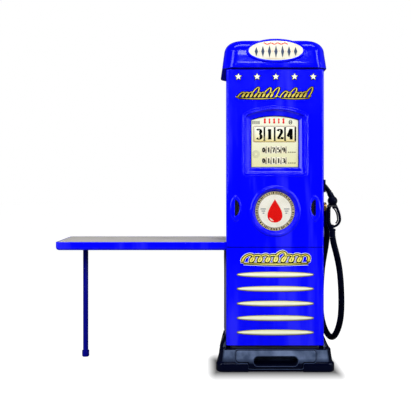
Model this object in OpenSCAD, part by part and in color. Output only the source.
// Retro fuel pump with a fixed side table. Millimetres, +Z up, the front faces -Y.
// The origin is the centre of the plinth's underside.

/* [Body] */
// Width of the front door and the lower front panel
body_w = 560; // [540:5:580]
// Distance of the front face from the centre
front_y = 235; // [233:1:237]
// Distance of the cabinet's back from the centre
back_y = 235; // [230:1:236]
// Depth of the door and of the lower front panel
panel_d = 30; // [28:1:32]
// Underside of the body
body_z0 = 144; // [140:1:146]
// Seam between the door and the lower front panel
seam_z = 705; // [700:1:710]
// Top of the upper cabinet, where the cap starts
body_z1 = 1725; // [1715:1:1735]
// How far the upper cabinet's sides stand back behind the door's edges
cabinet_inset = 14; // [12:1:16]
// Shoulder between the lower and the upper cabinet
shoulder_z = 664; // [655:1:670]
// Radius of the front panels' upright edges
edge_r = 16; // [12:1:18]
// Thickness of the sheet metal
sheet = 2; // [1.5:0.5:2.5]

/* [Plinth] */
// Half width of the plinth at its moulding
plinth_hw = 338; // [334:1:345]
// Half depth of the plinth at its moulding
plinth_hd = 271; // [268:1:275]
// How much narrower each side of the plinth is at the back
plinth_taper = 44; // [30:1:45]
// Top of the plinth's deck
deck_z = 126; // [122:1:130]
// Top of the collar round the cabinet's foot
collar_z = 188; // [180:1:205]
// Length of the slot in the apron
slot_l = 247; // [220:1:260]
// Height of the slot in the apron
slot_h = 51; // [45:1:54]

/* [Cap] */
// Width of the cap at its lower edge
cap_w = 604; // [596:1:610]
// Height of the cap
cap_h = 173; // [165:1:180]
// Radius of the cap's upper edges
cap_edge_r = 65; // [55:1:70]
// Half length of the oval sign
sign_a = 155; // [145:1:160]
// Half height of the oval sign
sign_b = 55.5; // [50:0.5:57]
// Width of the sign's rim
sign_rim_w = 12; // [9:1:13]

/* [Dial and emblem] */
// Width of the opening in front of the dial
dial_w = 274; // [260:1:280]
// Underside of the dial's opening
dial_z0 = 1161.5; // [1158:0.5:1165]
// Height of the dial's opening at its sides, above its underside
dial_side_h = 273.5; // [268:0.5:276]
// Rise of the dial's arch
dial_rise = 23; // [18:1:26]
// Centre of the emblem
emblem_z = 911; // [905:1:915]
// Visible radius of the emblem
emblem_r = 114; // [110:1:116]
// Centre height of the two pulls
pull_z = 930; // [925:1:935]
// Distance of the pulls from the middle
pull_x = 230; // [226:1:231]

/* [Table] */
// Free end of the table
table_x0 = -1269; // [-1300:1:-1200]
// Top of the table
table_z = 730; // [725:1:735]
// Height of the table's edge band
table_t = 48; // [44:1:50]
// Depth of the table
table_d = 425; // [400:1:430]
// Radius of the leg
leg_r = 16; // [14:1:20]

/* [Nozzle and hose] */
// Plane of the nozzle
nozzle_y = -110; // [-112:1:-108]
// Radius of the spout
spout_r = 14; // [13:0.5:14.5]
// Radius of the hose
hose_r = 18; // [15:1:19]
// Plane of the hose outlet
outlet_y = 162; // [160:1:164]

/* [Hidden] */
$fn = 64;
// Cuts run this far past the faces they cut.
eps = 1;
body_blue = [0.03, 0.05, 0.9];
cream = [0.94, 0.93, 0.78];
hw = body_w / 2;
cab_hw = hw - cabinet_inset;
// The cabinet's front stands just behind the door's back.
cab_front = -front_y + panel_d + 2;
door_z0 = seam_z + 2;
door_z1 = body_z1 - 4;
// Half widths of the front and the rear openings of the cabinets.
front_open = 240;
rear_open = 236;
rear_open_z0 = 212;
rear_open_z1 = body_z1 - 35;
rear_door_z0 = rear_open_z0 - 6;
rear_door_z1 = rear_open_z1 + 6;
// Doors' hinge axes, as [x, y].
front_hinge = [cab_hw + 6.5, cab_front + 4];
rear_hinge = [-256, back_y + 9];
front_hinge_zs = [800, 1215, 1630];
rear_hinge_zs = [320, 950, 1580];
lock = [215, 950];
dial_top = dial_z0 + dial_side_h;
star_pitch = 107;
louvre_zs = [549, 468, 384, 301, 219];
front_face = -front_y;
hose_route = [
    [370, 162, 800], [371, 162, 740], [366, 162, 680], [354, 162, 615], [343, 162, 545], [336, 162, 460],
    [333, 162, 370], [332, 162, 280], [338, 143, 206], [350, 90, 152], [362, 19, 133], [373, -52, 152],
    [385, -105, 206], [398, -124, 280], [402, -124, 370], [400, -121, 465], [393, -117, 560], [376, -112, 650],
    [361, -110, 705], [352, -110, 751.7]
];
hose_sides = 10;
outlet_x = hose_route[0][0];

function ellipse(a, b, n = 48) = [for (i = [0 : n - 1]) [a * cos(360 * i / n), b * sin(360 * i / n)]];
function half_ellipse(a, b, n = 24) = [for (i = [0 : n]) [a * sin(180 * i / n), -b * cos(180 * i / n)]];
// A long lens with blunt ends.
function lens_h(x, l, h) = h / 2 * pow(1 - pow(abs(2 * x / l), 2.4), 0.75);
function lens(l, h, n = 20) = let (xs = [for (i = [0 : n]) l / 2 * sin(180 * i / n - 90)]) concat(
    [for (i = [0 : n]) [xs[i], lens_h(xs[i], l, h)]],
    [for (i = [n - 1 : -1 : 1]) [xs[i], -lens_h(xs[i], l, h)]]
);
function star(r_out, r_in) = [for (i = [0 : 9]) let (r = i % 2 == 0 ? r_out : r_in) [r * sin(36 * i), r * cos(36 * i)]];
// A ribbon of half width w, tapered to its ends, along a wave of the given length, height and number of turns.
function wave_z(x, l, h, turns) = h * sin(360 * turns * x / l);
function ribbon(l, h, turns, w, n = 30) = let (xs = [for (i = [0 : n]) l * (i / n - 0.5)]) concat(
    [for (x = xs) [x, wave_z(x, l, h, turns) + w * (1 - pow(abs(2 * x / l), 4)) + 0.6]],
    [for (i = [n : -1 : 0]) [xs[i], wave_z(xs[i], l, h, turns) - w * (1 - pow(abs(2 * xs[i] / l), 4)) - 0.6]]
);
function unit(v) = v / norm(v);
function tangent(p, i) = i == 0 ? [0, 0, -1] : i == len(p) - 1 ? [0, 0, 1] : unit(p[i + 1] - p[i - 1]);
function ring(p, i, r, n) = let (t = tangent(p, i), u = unit(cross(t, [1, 0, 0])), v = cross(t, u))
    [for (k = [0 : n - 1]) p[i] + r * (cos(360 * k / n) * u + sin(360 * k / n) * v)];

module rounded_rect(w, d, r) {
    square([w - 2 * r, d], center = true);
    square([w, d - 2 * r], center = true);
    for (x = [-1, 1], y = [-1, 1]) translate([x * (w / 2 - r), y * (d / 2 - r)]) circle(r);
}

// A flat slab with round corners, from y0 to y1.
module slab(half_w, y0, y1, r, z, t = 1) {
    translate([0, (y0 + y1) / 2, z]) linear_extrude(t) rounded_rect(2 * half_w, y1 - y0, r);
}

// A flat slab like that, narrower at its back end by the plinth's taper.
module tapered_slab(half_w, y0, y1, r, z, taper = plinth_taper, t = 1) {
    hull() for (s = [-1, 1], back = [0, 1])
        translate([s * (half_w - back * taper - r), back ? y1 - r : y0 + r, z]) cylinder(h = t, r = r, $fn = 32);
}

// A flat shape drawn in X and Z, from y0 to y1.
module upright(y0, y1) {
    translate([0, y1, 0]) rotate([90, 0, 0]) linear_extrude(y1 - y0) children();
}

// A box given by its lowest and highest corners.
module block(lo, hi) {
    translate(lo) cube(hi - lo);
}

// A round bar from p to q.
module rod(p, q, r) {
    d = q - p;
    translate(p) rotate([0, acos(d[2] / norm(d)), atan2(d[1], d[0])]) cylinder(h = norm(d), r = r);
}

// A window outline: straight sides up to zs, then an arch up to zt.
module arch(w, z0, zs, zt) {
    rise = zt - zs;
    r = (pow(w / 2, 2) + pow(rise, 2)) / (2 * rise);
    intersection() {
        translate([0, zt - r]) circle(r, $fn = 180);
        translate([-w / 2, z0]) square([w, zt - z0 + eps]);
    }
}

// The section of a front panel: full depth, with its two front edges rounded.
module panel_section(half_w, y0, y1, r) {
    translate([-half_w, y0 + r]) square([2 * half_w, y1 - y0 - r]);
    translate([-half_w + r, y0]) square([2 * (half_w - r), r + eps]);
    intersection() {
        for (x = [-1, 1]) translate([x * (half_w - r), y0 + r]) circle(r);
        translate([-half_w, y0]) square([2 * half_w, r + eps]);
    }
}

// A sheet metal pan that is open at the back.
module pan(z0, z1, y1) {
    difference() {
        translate([0, 0, z0]) linear_extrude(z1 - z0) panel_section(hw, front_face, y1, edge_r);
        translate([0, 0, z0 + sheet]) linear_extrude(z1 - z0 - 2 * sheet)
            panel_section(hw - sheet, front_face + sheet, y1 + eps, edge_r - sheet);
    }
}

module plinth_outside() {
    difference() {
        hull() {
            tapered_slab(plinth_hw - 5, -plinth_hd + 5, plinth_hd - 5, 40, 0);
            tapered_slab(plinth_hw, -plinth_hd, plinth_hd, 45, 7);
            tapered_slab(plinth_hw, -plinth_hd, plinth_hd, 45, 44);
            tapered_slab(plinth_hw - 7, -plinth_hd + 7, plinth_hd - 7, 40, 54);
        }
        block([-156, -plinth_hd - eps, -eps], [156, -256, 56]);
    }
    hull() {
        tapered_slab(plinth_hw - 8, -256, plinth_hd - 9, 38, 50, 40);
        tapered_slab(plinth_hw - 20, -256, plinth_hd - 20, 38, deck_z - 1, 35);
    }
    plinth_collar();
}

// The collar stands up beside the cabinet's front corners and slopes down to the middle of the plinth.
module plinth_collar() {
    difference() {
        hull() {
            tapered_slab(plinth_hw - 21, -200, 80, 34, deck_z - 1, 18);
            tapered_slab(plinth_hw - 32, -198, -20, 30, 149, 8);
            slab(hw + 9, -190, -148, 20, collar_z - 1);
        }
        block([-hw - 2, -300, deck_z], [hw + 2, back_y + 2.5, collar_z + eps]);
    }
}

module plinth() {
    color("black") difference() {
        plinth_outside();
        hull() {
            tapered_slab(plinth_hw - 16, -250, plinth_hd - 17, 32, -eps);
            tapered_slab(plinth_hw - 32, -250, plinth_hd - 27, 32, deck_z - 7, 31);
        }
        upright(-plinth_hd - eps, -240) translate([0, 62.5]) rounded_rect(slot_l, slot_h, slot_h / 2 - 1);
        plinth_bolt_places() translate([0, 0, deck_z - 10]) cylinder(h = 20, r = 5.5);
    }
}

module plinth_bolt_places() {
    for (x = [-200, 200], y = [-170, 190]) translate([x, y, 0]) children();
}

module plinth_floor() {
    color("dimgray") tapered_slab(plinth_hw - 20, -246, plinth_hd - 21, 28, 0, plinth_taper, 10);
}

module plinth_riser() {
    color("black") difference() {
        slab(255, -215, 228, 12, deck_z, body_z0 - deck_z);
        slab(160, -130, 150, 12, deck_z - eps, body_z0 - deck_z + 2 * eps);
        plinth_bolt_places() translate([0, 0, deck_z - eps]) cylinder(h = 30, r = 5.5);
    }
}

module plinth_apron() {
    color("black") difference() {
        upright(-268, -256) {
            translate([0, 91]) rounded_rect(456, 70, 14);
            translate([0, 60]) rounded_rect(304, 76, 12);
        }
        upright(-270, -254) translate([0, 62.5]) rounded_rect(slot_l, slot_h, slot_h / 2 - 1);
    }
}

module plinth_bolts() {
    color("silver") plinth_bolt_places() {
        translate([0, 0, body_z0 + sheet]) cylinder(h = 7, r = 9, $fn = 6);
        translate([0, 0, deck_z - 12]) cylinder(h = body_z0 + sheet - deck_z + 12, r = 5);
    }
}

module lower_cabinet() {
    color(body_blue) difference() {
        intersection() {
            slab(hw, cab_front, back_y, 10, body_z0, shoulder_z - body_z0);
            upright(cab_front - eps, back_y + eps) {
                translate([-hw, body_z0]) square([2 * hw, shoulder_z - body_z0 - cabinet_inset]);
                translate([-cab_hw, body_z0]) square([2 * cab_hw, shoulder_z - body_z0]);
                for (x = [-1, 1])
                    translate([x * cab_hw, shoulder_z - cabinet_inset]) circle(cabinet_inset);
            }
        }
        slab(hw - sheet, cab_front + sheet, back_y - sheet, 8, body_z0 + sheet, shoulder_z - body_z0 - 20);
        slab(cab_hw - sheet, cab_front + sheet, back_y - sheet, 8, shoulder_z - 30, 40);
        block([-250, cab_front - eps, body_z0 + 20], [250, cab_front + 10, shoulder_z - 30]);
        block([-rear_open, back_y - 10, rear_open_z0], [rear_open, back_y + eps, shoulder_z + eps]);
        plinth_bolt_places() translate([0, 0, body_z0 - eps]) cylinder(h = 10, r = 5.5);
    }
}

module upper_cabinet() {
    color(body_blue) difference() {
        slab(cab_hw, cab_front, back_y, 10, shoulder_z, body_z1 - shoulder_z);
        slab(cab_hw - sheet, cab_front + sheet, back_y - sheet, 8, shoulder_z - eps, body_z1 - shoulder_z - sheet + eps);
        block([-front_open, cab_front - eps, seam_z + 7], [front_open, cab_front + 10, body_z1 - 13]);
        block([-rear_open, back_y - 10, shoulder_z - eps], [rear_open, back_y + eps, rear_open_z1]);
    }
}

module inner_frame() {
    post = 25;
    front_post_y = cab_front + 18;
    rear_post_y = back_y - 40;
    post_hw = cab_hw - sheet - 1;
    color("dimgray") {
        for (side = [-1, 1]) {
            for (y = [front_post_y, rear_post_y]) post_angle(side, y, post, post_hw);
            for (z = [408, 682, 1712 - 12])
                block_sided(side, [post_hw - 3, front_post_y, z], [post_hw, rear_post_y + post, z + 12]);
            for (z = [408, 682])
                block_sided(side, [post_hw - post, front_post_y + 3, z + 9], [post_hw - 2, rear_post_y + 2, z + 12]);
        }
        for (z = [905, 1180, 1420]) block([-post_hw, -108, z], [post_hw, -105, z + 25]);
        for (z = [905, 1180, 1420], side = [-1, 1])
            block_sided(side, [post_hw - 3, front_post_y, z], [post_hw, -105, z + 25]);
    }
}

module post_angle(side, y, post, post_hw) {
    block_sided(side, [post_hw - 3, y, body_z0 + sheet], [post_hw, y + post, body_z1 - 3]);
    block_sided(side, [post_hw - post, y, body_z0 + sheet], [post_hw, y + 3, body_z1 - 3]);
}

// A box on the right side, or its mirror image on the left.
module block_sided(side, lo, hi) {
    mirror([side < 0 ? 1 : 0, 0, 0]) block(lo, hi);
}

module shelf(z) {
    block([-258, -178, z], [258, 192, z + 12]);
}

module lower_shelf() {
    color("burlywood") shelf(420);
}

module middle_shelf() {
    color("burlywood") shelf(694);
}

module lower_front_panel() {
    color(body_blue) pan(body_z0, seam_z - 2, cab_front);
}

module louvre_trims() {
    color(cream) upright(front_face - 3, front_face) for (z = louvre_zs)
        translate([0, z]) polygon(lens(437, 30));
}

module lower_scroll() {
    color("gold") upright(front_face - 2, front_face) translate([0, 650]) {
        polygon(ribbon(430, 24, 1.5, 12));
        polygon(ribbon(430, -20, 1, 7));
    }
}

module upper_scroll() {
    color("gold") upright(front_face - 2, front_face) translate([0, 1586]) {
        polygon(ribbon(450, 28, 2, 6));
        polygon(ribbon(450, -24, 1.5, 4));
    }
}

module star_badges() {
    color(cream) upright(front_face - 2, front_face) for (i = [-2 : 2])
        translate([i * star_pitch, 1679]) polygon(star(22, 9.4));
}

// Light boxes and lamps are closed at the back and open towards the door.
module dial_light_box() {
    color("white") difference() {
        block([-150, -192, 1145], [150, -108, 1480]);
        block([-148, -193, 1147], [148, -110, 1478]);
    }
}

module lamp_tube(x, y, z) {
    translate([-x, y, z]) rotate([0, 90, 0]) cylinder(h = 2 * x, r = 8);
}

module dial_lamp() {
    color("ivory") for (z = [1215, 1410]) {
        lamp_tube(125, -140, z);
        for (x = [-118, 108]) block([x, -140, z - 10], [x + 10, -110, z + 10]);
    }
}

module emblem_light_box() {
    color("white") translate([0, -108, emblem_z]) rotate([90, 0, 0]) difference() {
        cylinder(h = 80, r = 125);
        translate([0, 0, 2]) cylinder(h = 80, r = 123);
    }
}

module emblem_lamp() {
    color("ivory") translate([0, -140, emblem_z]) rotate([90, 0, 0]) {
        rotate_extrude() translate([70, 0]) circle(8);
        for (x = [-1, 1]) translate([x * 70 - 6, -6, -30]) cube([12, 12, 30]);
    }
}

// Hinge knuckles at one height: the outer two stay on the cabinet with the pin, the middle one turns.
knuckle_h = 24;

module fixed_knuckles(axis, z, r, pin_r) {
    translate([axis[0], axis[1], z - 1.5 * knuckle_h]) {
        cylinder(h = 3 * knuckle_h, r = pin_r);
        cylinder(h = knuckle_h - 0.5, r = r);
        translate([0, 0, 2 * knuckle_h + 0.5]) cylinder(h = knuckle_h - 0.5, r = r);
    }
}

module turning_knuckle(axis, z, r, pin_r, lo, hi) {
    difference() {
        union() {
            translate([axis[0], axis[1], z - knuckle_h / 2]) cylinder(h = knuckle_h, r = r);
            block([lo[0], lo[1], z - knuckle_h / 2], [hi[0], hi[1], z + knuckle_h / 2]);
        }
        translate([axis[0], axis[1], z - knuckle_h]) cylinder(h = 2 * knuckle_h, r = pin_r + 0.05);
    }
}

module hinge_web(lo, hi, z) {
    for (s = [-1, 1]) {
        za = z + s * (knuckle_h + 0.25) - (knuckle_h - 0.5) / 2;
        block([lo[0], lo[1], za], [hi[0], hi[1], za + knuckle_h - 0.5]);
    }
}

module front_hinge_posts() {
    color("silver") for (z = front_hinge_zs) {
        fixed_knuckles(front_hinge, z, 5, 2.5);
        hinge_web([cab_hw, front_hinge[1]], [cab_hw + 5, front_hinge[1] + 8], z);
        block([cab_hw, front_hinge[1] + 6, z - 36], [cab_hw + 2, front_hinge[1] + 34, z + 36]);
    }
}

module front_hinge_leaves() {
    color("silver") for (z = front_hinge_zs)
        turning_knuckle(
            front_hinge, z, 5, 2.5,
            [front_hinge[0] - 5, -front_y + panel_d], [front_hinge[0] + 5, front_hinge[1] - 3.2]
        );
}

module rear_hinge_posts() {
    color("silver") for (z = rear_hinge_zs) {
        fixed_knuckles(rear_hinge, z, 6, 3);
        hinge_web([rear_hinge[0] - 4, back_y], [rear_hinge[0] + 2, rear_hinge[1]], z);
        block([-cab_hw + 2, back_y, z - 36], [rear_hinge[0] + 2, back_y + 2, z + 36]);
    }
}

module rear_hinge_leaves() {
    color("silver") for (z = rear_hinge_zs)
        turning_knuckle(rear_hinge, z, 6, 3, [rear_hinge[0] + 3.5, rear_hinge[1] - 3], [-244, rear_hinge[1] + 3]);
}

module door_catches() {
    color("dimgray") for (z = [860, 1560])
        block([-cab_hw + 11, cab_front + sheet, z], [-front_open - 3, cab_front + 14, z + 40]);
}

module front_door() {
    color(body_blue) difference() {
        union() {
            pan(door_z0, door_z1, -front_y + panel_d);
            for (s = [-1, 1])
                block_sided(s, [hw - 22, -front_y + panel_d - sheet, door_z0], [hw - 1, -front_y + panel_d, door_z1]);
        }
        upright(front_face - eps, front_face + 10) arch(352, dial_z0 - 43, dial_top + 27, dial_top + 69);
        translate([0, front_face + 10, emblem_z]) rotate([90, 0, 0]) cylinder(h = 20, r = 125);
        for (s = [-1, 1]) translate([s * pull_x, 0, pull_z]) mirror([s > 0 ? 1 : 0, 0, 0])
            upright(front_face - 10, front_face + 5) polygon(half_ellipse(25, 44.5));
    }
}

module pull_cup(side) {
    color("silver") translate([side * pull_x, 0, pull_z]) difference() {
        upright(front_face + sheet, front_face + 24) polygon(ellipse(29, 48.5));
        upright(front_face, front_face + 22) polygon(ellipse(25, 44.5));
    }
}

module pull_cup_left() {
    pull_cup(-1);
}

module pull_cup_right() {
    pull_cup(1);
}

module window_bezel() {
    color(body_blue) difference() {
        union() {
            upright(front_face - 7, front_face) arch(382, dial_z0 - 55.5, dial_top + 35, dial_top + 80);
            upright(front_face - eps, front_face + 28) arch(350, dial_z0 - 42, dial_top + 26, dial_top + 68);
        }
        hull() {
            upright(front_face - 9, front_face - 7) arch(342, dial_z0 - 37, dial_top + 21, dial_top + 62);
            upright(front_face + 28, front_face + 30) arch(dial_w, dial_z0, dial_top, dial_top + dial_rise);
        }
    }
}

module window_glass() {
    color("lightblue", 0.4) upright(front_face + 28, front_face + 31)
        arch(dial_w + 24, dial_z0 - 12, dial_top + 10, dial_top + dial_rise + 10);
}

module dial_card() {
    color(cream) upright(front_face + 31.5, front_face + 33.5)
        arch(dial_w + 20, dial_z0 - 10, dial_top + 8, dial_top + dial_rise + 8);
}

module emblem_bezel() {
    color(body_blue) translate([0, front_face, emblem_z]) rotate([90, 0, 0]) rotate_extrude()
        difference() {
            union() {
                translate([emblem_r, 0]) square([34, 5]);
                translate([emblem_r + 19, 5]) circle(5);
                translate([emblem_r, -28]) square([10.5, 29]);
            }
            translate([emblem_r - eps, -29]) square([7, 14]);
        }
}

module emblem_layer(y) {
    translate([0, y + 3, emblem_z]) rotate([90, 0, 0]) cylinder(h = 3, r = emblem_r + 5.8);
}

module emblem_glass() {
    color("lightblue", 0.4) emblem_layer(front_face + 15);
}

module emblem_disc() {
    color(cream) emblem_layer(front_face + 18.2);
}

module rear_door() {
    y0 = back_y + 2;
    color(body_blue) difference() {
        block([-244, y0, rear_door_z0], [244, y0 + 16, rear_door_z1]);
        block([-242, y0 - eps, rear_door_z0 + sheet], [242, y0 + 14, rear_door_z1 - sheet]);
        translate([lock[0], y0 + 20, lock[1]]) rotate([90, 0, 0]) cylinder(h = 20, r = 9.05);
    }
}

// A quarter-turn lock: barrel, outside bar and inside cam. At rest the cam points down and the door is free.
module rear_lock() {
    y0 = back_y + 2;
    color("silver") translate([lock[0], 0, lock[1]]) {
        translate([0, y0 + 22, 0]) rotate([90, 0, 0]) cylinder(h = 31, r = 9);
        translate([0, y0 + 17.5, 0]) rotate([-90, 0, 0]) cylinder(h = 4, r = 15);
        block([-6, y0 + 21, -30], [6, y0 + 31, 30]);
        block([-7, back_y - 7, -42], [7, back_y - 4, 4]);
    }
}

// One layer of the cap, given by how far it stands in from the cap's lower edge.
module cap_layer(inset, z) {
    slab(cap_w / 2 - inset, -262 + inset, 250 - inset, 80 - inset * 0.4, z);
}

// The cap's outside, or with a wall and a floor thickness its inside.
module cap_solid(wall = 0, floor_t = 0) {
    knee = body_z1 + cap_h - cap_edge_r;
    hull() {
        cap_layer(wall, body_z1 + floor_t);
        for (a = [0 : 15 : 90])
            cap_layer(wall + 9 + (cap_edge_r - wall) * (1 - cos(a)), knee - 1 + (cap_edge_r - wall) * sin(a));
    }
}

module cap() {
    color(body_blue) difference() {
        cap_solid();
        cap_solid(5, 6);
        slab(230, -170, 190, 20, body_z1 - eps, 10);
        upright(-300, -200) translate([0, body_z1 + 97]) polygon(ellipse(sign_a + sign_rim_w + 0.5, sign_b + sign_rim_w + 0.5));
    }
}

module sign_rim() {
    color(body_blue) upright(-274, -232) translate([0, body_z1 + 97]) difference() {
        polygon(ellipse(sign_a + sign_rim_w, sign_b + sign_rim_w));
        polygon(ellipse(sign_a, sign_b));
    }
}

module sign_plate() {
    color(cream) upright(-270, -266) translate([0, body_z1 + 97]) polygon(ellipse(sign_a - 0.3, sign_b - 0.3));
}

module sign_lamp() {
    color("ivory") {
        lamp_tube(120, -205, body_z1 + 97);
        for (x = [-110, 100]) block([x, -210, body_z1 + 6], [x + 10, -200, body_z1 + 97]);
    }
}

// The table: a board inside an edge band, carried by two brackets and a leg.
table_y1 = back_y;
table_y0 = table_y1 - table_d;
table_x1 = -cab_hw - 2;
band = 9;
board_t = 28;
leg_x = -1142;
leg_y = 76;

module table_top() {
    color([0.7, 0.68, 0.66])
        block([table_x0 + band, table_y0 + band, table_z - board_t], [table_x1, table_y1 - band, table_z]);
}

module table_edge() {
    color(body_blue) difference() {
        block([table_x0, table_y0, table_z - table_t], [table_x1, table_y1, table_z]);
        block([table_x0 + band, table_y0 + band, table_z - table_t - eps], [table_x1 + eps, table_y1 - band, table_z + eps]);
    }
}

module table_brackets() {
    z = table_z - board_t;
    color("dimgray") for (y = [table_y0 + 60, table_y1 - 100]) {
        block([-480, y, z - 4], [-cab_hw, y + 40, z]);
        block([-cab_hw - 4, y, z - 20], [-cab_hw, y + 40, z]);
        block([-470, y + 18, z - 16], [-cab_hw - 3, y + 22, z - 3]);
    }
}

module table_screws() {
    z = table_z - board_t - 4;
    color("silver") for (x = [-440, -320], y = [table_y0 + 69, table_y0 + 91, table_y1 - 91, table_y1 - 69])
        translate([x, y, z - 3]) cylinder(h = 3, r = 4);
}

module table_leg() {
    color(body_blue) translate([leg_x, leg_y, 36.3]) difference() {
        cylinder(h = table_z - board_t - 8 - 36.3, r = leg_r);
        translate([0, 0, 40]) cylinder(h = table_z, r = leg_r - 2);
        translate([0, 0, -eps]) cylinder(h = 31, r = 5.05);
    }
}

module leg_flange() {
    color(body_blue) translate([leg_x, leg_y, table_z - board_t - 8]) cylinder(h = 8, r = 45);
}

module leg_foot() {
    color(body_blue) translate([leg_x, leg_y, 0]) {
        cylinder(h = 5, r = 20);
        translate([0, 0, 4]) cylinder(h = 32, r = 22);
        cylinder(h = 62, r = 5);
    }
}

// The nozzle hangs on the right side, its spout in the boot and its bulge on the fork.
bulge = [352, nozzle_y, 967];
bulge_r = 29;
grip_x = 329;
spout_mid = [166, nozzle_y, 924];
spout_bend = 191;
spout_a0 = 27.5;
spout_axis = [sin(spout_a0), 0, -cos(spout_a0)];
spout_neck = spout_mid + spout_bend * [cos(spout_a0), 0, sin(spout_a0)];
spout_root_r = 12;
lever_pivot = [360, nozzle_y, 923];
guard_mid = [350, nozzle_y, 860];
guard_bend = 46;
guard_a1 = 15;
guard_r = 7;
lever_bend = 33;
lever_a0 = -45;
lever_r = 4;

function around(mid, bend, a) = mid + bend * [cos(a), 0, sin(a)];

// A bar of radius r bent round mid, from angle a0 to a1 above the horizontal.
module bent_bar(mid, bend, r, a0, a1) {
    translate(mid) rotate([90, 0, 0]) rotate([0, 0, a0])
        rotate_extrude(angle = a1 - a0) translate([bend, 0]) circle(r, $fn = 32);
}

// The boot is a channel that takes the spout's tip.
module nozzle_boot() {
    color("black") {
        block([cab_hw, nozzle_y - 26, 1018], [cab_hw + 4, nozzle_y + 26, 1100]);
        for (s = [-1, 1]) translate([0, nozzle_y + s * 18, 0])
            block([cab_hw + 3, -2, 1018], [cab_hw + 42, 2, 1092]);
    }
}

module nozzle_hook() {
    color([0.75, 0.5, 0.25]) {
        rod([cab_hw, nozzle_y, 933], [cab_hw + 5, nozzle_y, 933], 32);
        rod([cab_hw + 4, nozzle_y, 933], [314, nozzle_y, 933], 25);
    }
}

module nozzle_fork() {
    color("black") difference() {
        block([314, nozzle_y - 24, 933], [374, nozzle_y + 24, 941]);
        block([318, nozzle_y - 14, 925], [380, nozzle_y + 14, 950]);
    }
}

module nozzle_body() {
    color("black") difference() {
        union() {
            translate(bulge) rotate([90, 0, 0]) sphere(bulge_r);
            translate([grip_x, nozzle_y, 808]) cylinder(h = 120, r = 12);
            translate([345, nozzle_y, 803]) cylinder(h = 23, r = 14.5);
            rod([grip_x, nozzle_y, 918], [349, nozzle_y, 960], 10);
            rod(spout_neck + 38 * spout_axis, spout_neck, 17);
            for (s = [-1, 1]) translate([0, nozzle_y + s * 10, 0]) block([350, -2, 913], [370, 2, 955]);
        }
        rod(spout_neck + 30 * spout_axis, spout_neck - 5 * spout_axis, spout_root_r + 0.05);
        rod(lever_pivot - [0, 30, 0], lever_pivot + [0, 30, 0], 3.05);
    }
}

module nozzle_spout() {
    color("black") difference() {
        union() {
            rod(spout_neck + 30 * spout_axis, spout_neck - spout_axis, spout_root_r);
            bent_bar(spout_mid, spout_bend, spout_r, spout_a0, 51);
        }
        bent_bar(spout_mid, spout_bend, spout_r - 3, 38, 52);
    }
}

module nozzle_guard() {
    color("black") difference() {
        union() {
            bent_bar(guard_mid, guard_bend, guard_r, -95, guard_a1);
            rod(around(guard_mid, guard_bend, guard_a1 - 6), [365, nozzle_y, 948], guard_r - 0.2);
        }
        translate(bulge) sphere(bulge_r + 0.1);
        translate([345, nozzle_y, 800]) cylinder(h = 26.1, r = 14.6);
    }
}

module lever_pin() {
    color("silver") rod(lever_pivot - [0, 14, 0], lever_pivot + [0, 14, 0], 3);
}

module nozzle_lever() {
    color("black") difference() {
        union() {
            bent_bar(guard_mid, lever_bend, lever_r, lever_a0, guard_a1);
            for (a = [lever_a0, guard_a1]) translate(around(guard_mid, lever_bend, a)) sphere(lever_r + 0.6);
            rod(around(guard_mid, lever_bend, guard_a1), lever_pivot, lever_r - 0.4);
            rod(lever_pivot - [0, 6.5, 0], lever_pivot + [0, 6.5, 0], 5.3);
        }
        rod(lever_pivot - [0, 30, 0], lever_pivot + [0, 30, 0], 3.05);
    }
}

module hose_swivel() {
    color("black") {
        translate([352, nozzle_y, 752]) cylinder(h = 40, r = 15);
        translate([352, nozzle_y, 788]) cylinder(h = 14.7, r = 18);
    }
}

module hose_outlet() {
    color("black") {
        translate([cab_hw, outlet_y, 905]) rotate([0, 90, 0]) cylinder(h = 8, r = 40);
        translate([cab_hw + 4, outlet_y, 905]) rotate([0, 90, 0]) cylinder(h = outlet_x - cab_hw - 4, r = 20);
        translate([outlet_x, outlet_y, 905]) sphere(23);
        translate([outlet_x, outlet_y, 850]) cylinder(h = 55, r = 20);
    }
}

module outlet_bolts() {
    color("silver") for (a = [45 : 90 : 315])
        translate([cab_hw + 8, outlet_y + 31 * cos(a), 905 + 31 * sin(a)]) rotate([0, 90, 0]) cylinder(h = 5, r = 5, $fn = 6);
}

module hose_ferrule() {
    color("black") translate([outlet_x, outlet_y, 800]) {
        cylinder(h = 50, r = 22);
        cylinder(h = 10, r = 24);
    }
}

module hose() {
    n = hose_sides;
    last = len(hose_route) - 1;
    color([0.08, 0.08, 0.09]) polyhedron(
        points = [for (i = [0 : last]) each ring(hose_route, i, hose_r, n)],
        faces = concat(
            [[for (k = [0 : n - 1]) k]],
            [for (i = [0 : last - 1], k = [0 : n - 1])
                [i * n + k, (i + 1) * n + k, (i + 1) * n + (k + 1) % n, i * n + (k + 1) % n]],
            [[for (k = [n - 1 : -1 : 0]) last * n + k]]
        )
    );
}

plinth();
plinth_floor();
plinth_riser();
plinth_apron();
plinth_bolts();
lower_cabinet();
upper_cabinet();
inner_frame();
lower_shelf();
middle_shelf();
lower_front_panel();
louvre_trims();
lower_scroll();
dial_light_box();
dial_lamp();
emblem_light_box();
emblem_lamp();
front_hinge_posts();
rear_hinge_posts();
door_catches();
cap();
sign_rim();
sign_plate();
sign_lamp();
table_top();
table_edge();
table_brackets();
table_screws();
table_leg();
leg_flange();
leg_foot();
nozzle_boot();
nozzle_hook();
nozzle_fork();
hose_outlet();
outlet_bolts();
hose_ferrule();
hose();
front_door();
front_hinge_leaves();
window_bezel();
window_glass();
dial_card();
emblem_bezel();
emblem_glass();
emblem_disc();
star_badges();
upper_scroll();
pull_cup_left();
pull_cup_right();
rear_door();
rear_hinge_leaves();
rear_lock();
nozzle_body();
nozzle_spout();
nozzle_guard();
lever_pin();
hose_swivel();
nozzle_lever();
